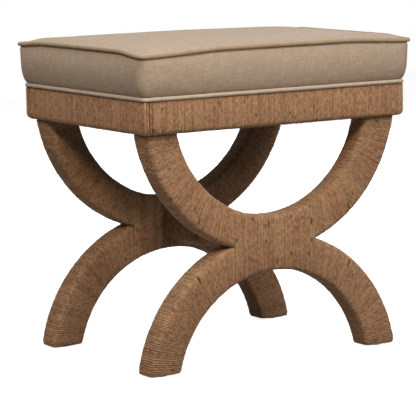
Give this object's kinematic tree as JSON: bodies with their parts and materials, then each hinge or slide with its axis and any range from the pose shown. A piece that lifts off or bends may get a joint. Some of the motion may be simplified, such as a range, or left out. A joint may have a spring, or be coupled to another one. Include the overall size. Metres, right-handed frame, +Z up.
{
  "type": "upholstered stool",
  "caption": "Low rectangular stool with crossed curved leg frames and an apron bound in natural cord, joined by a stretcher, under a piped linen box cushion.",
  "frame": {"origin": "on the floor under the middle of the seat", "axes": "+Z up, +X along the seat's length to the right as seen from the front, the front towards -Y"},
  "size_m": [0.4992, 0.3782, 0.5002],
  "materials": {
    "cord": "matt wound natural-fibre cord, golden brown with darker flecks",
    "linen": "matt plain-weave linen, oatmeal",
    "piping": "linen-covered piping cord, a little paler than the cover",
    "foam": "open-cell cushion foam",
    "dust_cloth": "thin black bonded cloth",
    "frame_wood": "bare hardwood",
    "plywood": "bare plywood",
    "steel": "zinc-plated steel",
    "nylon": "brown moulded nylon"
  },
  "bodies": {
    "root": {"apron_rail_back": "frame_wood", "apron_rail_front": "frame_wood", "apron_rail_left": "frame_wood", "apron_rail_right": "frame_wood", "apron_wrap_back": "cord", "apron_wrap_front": "cord", "apron_wrap_left": "cord", "apron_wrap_right": "cord", "back_lower_arc": "frame_wood", "back_lower_left_wrap": "cord", "back_lower_right_wrap": "cord", "back_upper_arc": "frame_wood", "back_upper_left_wrap": "cord", "back_upper_right_wrap": "cord", "back_waist_binding": "cord", "back_waist_dowel_left": "frame_wood", "back_waist_dowel_right": "frame_wood", "corner_block_back_left": "frame_wood", "corner_block_back_right": "frame_wood", "corner_block_front_left": "frame_wood", "corner_block_front_right": "frame_wood", "dust_cover": "dust_cloth", "foot_glide_back_left": "nylon", "foot_glide_back_right": "nylon", "foot_glide_front_left": "nylon", "foot_glide_front_right": "nylon", "front_lower_arc": "frame_wood", "front_lower_left_wrap": "cord", "front_lower_right_wrap": "cord", "front_upper_arc": "frame_wood", "front_upper_left_wrap": "cord", "front_upper_right_wrap": "cord", "front_waist_binding": "cord", "front_waist_dowel_left": "frame_wood", "front_waist_dowel_right": "frame_wood", "leg_bolt_back_left": "steel", "leg_bolt_back_right": "steel", "leg_bolt_front_left": "steel", "leg_bolt_front_right": "steel", "lower_piping": "piping", "seat_board": "plywood", "seat_boxing": "linen", "seat_foam": "foam", "seat_screw_back_left": "steel", "seat_screw_back_right": "steel", "seat_screw_front_left": "steel", "seat_screw_front_right": "steel", "seat_top_panel": "linen", "stretcher": "frame_wood", "stretcher_dowel_back_lower": "frame_wood", "stretcher_dowel_back_upper": "frame_wood", "stretcher_dowel_front_lower": "frame_wood", "stretcher_dowel_front_upper": "frame_wood", "stretcher_wrap": "cord", "upper_piping": "piping"}
  },
  "joints": []
}
